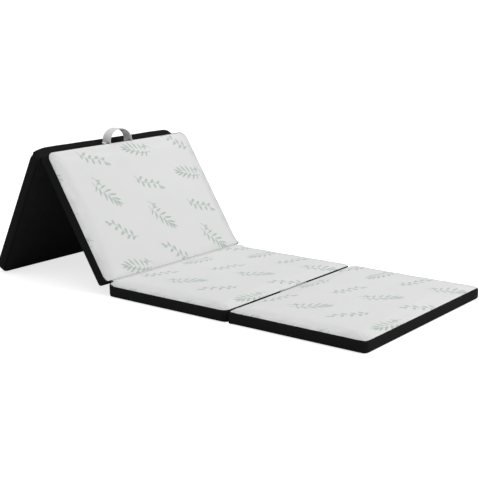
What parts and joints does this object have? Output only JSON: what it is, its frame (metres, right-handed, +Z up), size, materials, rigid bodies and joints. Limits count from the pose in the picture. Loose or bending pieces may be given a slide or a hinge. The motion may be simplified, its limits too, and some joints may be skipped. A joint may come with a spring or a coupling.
{
  "type": "folding mattress",
  "caption": "Folding guest mattress of hinged foam panels, set up as a lounger: seat panels flat on the floor, a reclined back and a prop panel behind it.",
  "frame": {"origin": "on the floor, under the middle of the mid panel's base cloth", "axes": "+X towards the foot of the bed, +Y towards the long side with the zips, +Z up"},
  "size_m": [1.4834, 0.7066, 0.4832],
  "materials": {
    "white_knit": "white knitted and quilted top cloth with a small raised knit and pale green leaf sprigs",
    "black_cloth": "matt black woven polyester",
    "black_base": "matt black woven base cloth with a fine grip texture",
    "grey_webbing": "light grey ribbed webbing",
    "soft_foam": "soft open-cell foam, cream",
    "firm_foam": "firm open-cell foam, pale blue",
    "zip_plastic": "black coil zip on black tape",
    "zip_metal": "black painted zinc"
  },
  "bodies": {
    "mid_panel": {"back_hinge_cloth": "white_knit", "foot_handle": "grey_webbing", "foot_hinge_cloth": "black_cloth", "mid_base_cloth": "black_base", "mid_comfort_foam": "soft_foam", "mid_side_band": "black_cloth", "mid_support_foam": "firm_foam", "mid_top_quilt": "white_knit", "mid_zip_chain": "zip_plastic"},
    "back_panel": {"back_base_cloth": "black_base", "back_comfort_foam": "soft_foam", "back_side_band": "black_cloth", "back_support_foam": "firm_foam", "back_top_quilt": "white_knit", "back_zip_chain": "zip_plastic", "far_handle_end": "grey_webbing", "near_handle_end": "grey_webbing", "ridge_hinge_cloth": "black_cloth"},
    "back_pull": {"back_zip_pull": "zip_metal"},
    "back_slider": {"back_zip_slider": "zip_metal"},
    "carry_loop": {"ridge_handle": "grey_webbing"},
    "foot_panel": {"foot_base_cloth": "black_base", "foot_comfort_foam": "soft_foam", "foot_side_band": "black_cloth", "foot_support_foam": "firm_foam", "foot_top_quilt": "white_knit", "foot_zip_chain": "zip_plastic"},
    "foot_pull": {"foot_zip_pull": "zip_metal"},
    "foot_slider": {"foot_zip_slider": "zip_metal"},
    "mid_pull": {"mid_zip_pull": "zip_metal"},
    "mid_slider": {"mid_zip_slider": "zip_metal"},
    "support_panel": {"support_base_cloth": "black_base", "support_comfort_foam": "soft_foam", "support_side_band": "black_cloth", "support_support_foam": "firm_foam", "support_top_quilt": "white_knit", "support_zip_chain": "zip_plastic"},
    "support_pull": {"support_zip_pull": "zip_metal"},
    "support_slider": {"support_zip_slider": "zip_metal"}
  },
  "joints": [
    {"name": "foot_fold", "type": "hinge", "parent": "mid_panel", "child": "foot_panel", "pos_m": [0.2375, 0, 0], "axis": [0, 1, 0], "range_deg": [0, 178], "deforming": ["foot_hinge_cloth"]},
    {"name": "back_recline", "type": "hinge", "parent": "mid_panel", "child": "back_panel", "pos_m": [-0.2375, 0, 0.0475], "axis": [0, 1, 0], "range_deg": [-57.4, 120.6], "deforming": ["back_hinge_cloth", "ridge_handle"]},
    {"name": "support_fold", "type": "hinge", "parent": "back_panel", "child": "support_panel", "pos_m": [-0.53343, 0, 0.42207], "axis": [0, -1, 0], "range_deg": [-121.3, 56.7], "deforming": ["ridge_hinge_cloth"]},
    {"name": "loop_swing", "type": "hinge", "parent": "back_panel", "child": "carry_loop", "pos_m": [-0.51307, 0, 0.43385], "axis": [0, -1, 0], "range_deg": [-57.5, 27]},
    {"name": "foot_zip_slide", "type": "slide", "parent": "foot_panel", "child": "foot_slider", "axis": [-1, 0, 0], "range_m": [0, 0.343]},
    {"name": "foot_pull_swing", "type": "hinge", "parent": "foot_slider", "child": "foot_pull", "pos_m": [0.6465, 0.3546, 0.018], "axis": [0, 0, 1], "range_deg": [0, 178]},
    {"name": "mid_zip_slide", "type": "slide", "parent": "mid_panel", "child": "mid_slider", "axis": [-1, 0, 0], "range_m": [0, 0.343]},
    {"name": "mid_pull_swing", "type": "hinge", "parent": "mid_slider", "child": "mid_pull", "pos_m": [0.1715, 0.3546, 0.018], "axis": [0, 0, 1], "range_deg": [0, 178]},
    {"name": "back_zip_slide", "type": "slide", "parent": "back_panel", "child": "back_slider", "axis": [-0.5388, 0, 0.8425], "range_m": [0, 0.343]},
    {"name": "back_pull_swing", "type": "hinge", "parent": "back_slider", "child": "back_pull", "pos_m": [-0.29791, 0.3546, 0.08721], "axis": [0.8425, 0, 0.5388], "range_deg": [0, 178]},
    {"name": "support_zip_slide", "type": "slide", "parent": "support_panel", "child": "support_slider", "axis": [0.4399, 0, 0.898], "range_m": [0, 0.343]},
    {"name": "support_pull_swing", "type": "hinge", "parent": "support_slider", "child": "support_pull", "pos_m": [-0.72952, 0.3546, 0.06269], "axis": [0.898, 0, -0.4399], "range_deg": [0, 178]}
  ],
  "couplings": [
    {"joint": "loop_swing", "follows": "support_fold", "ratio": 0.4732}
  ]
}
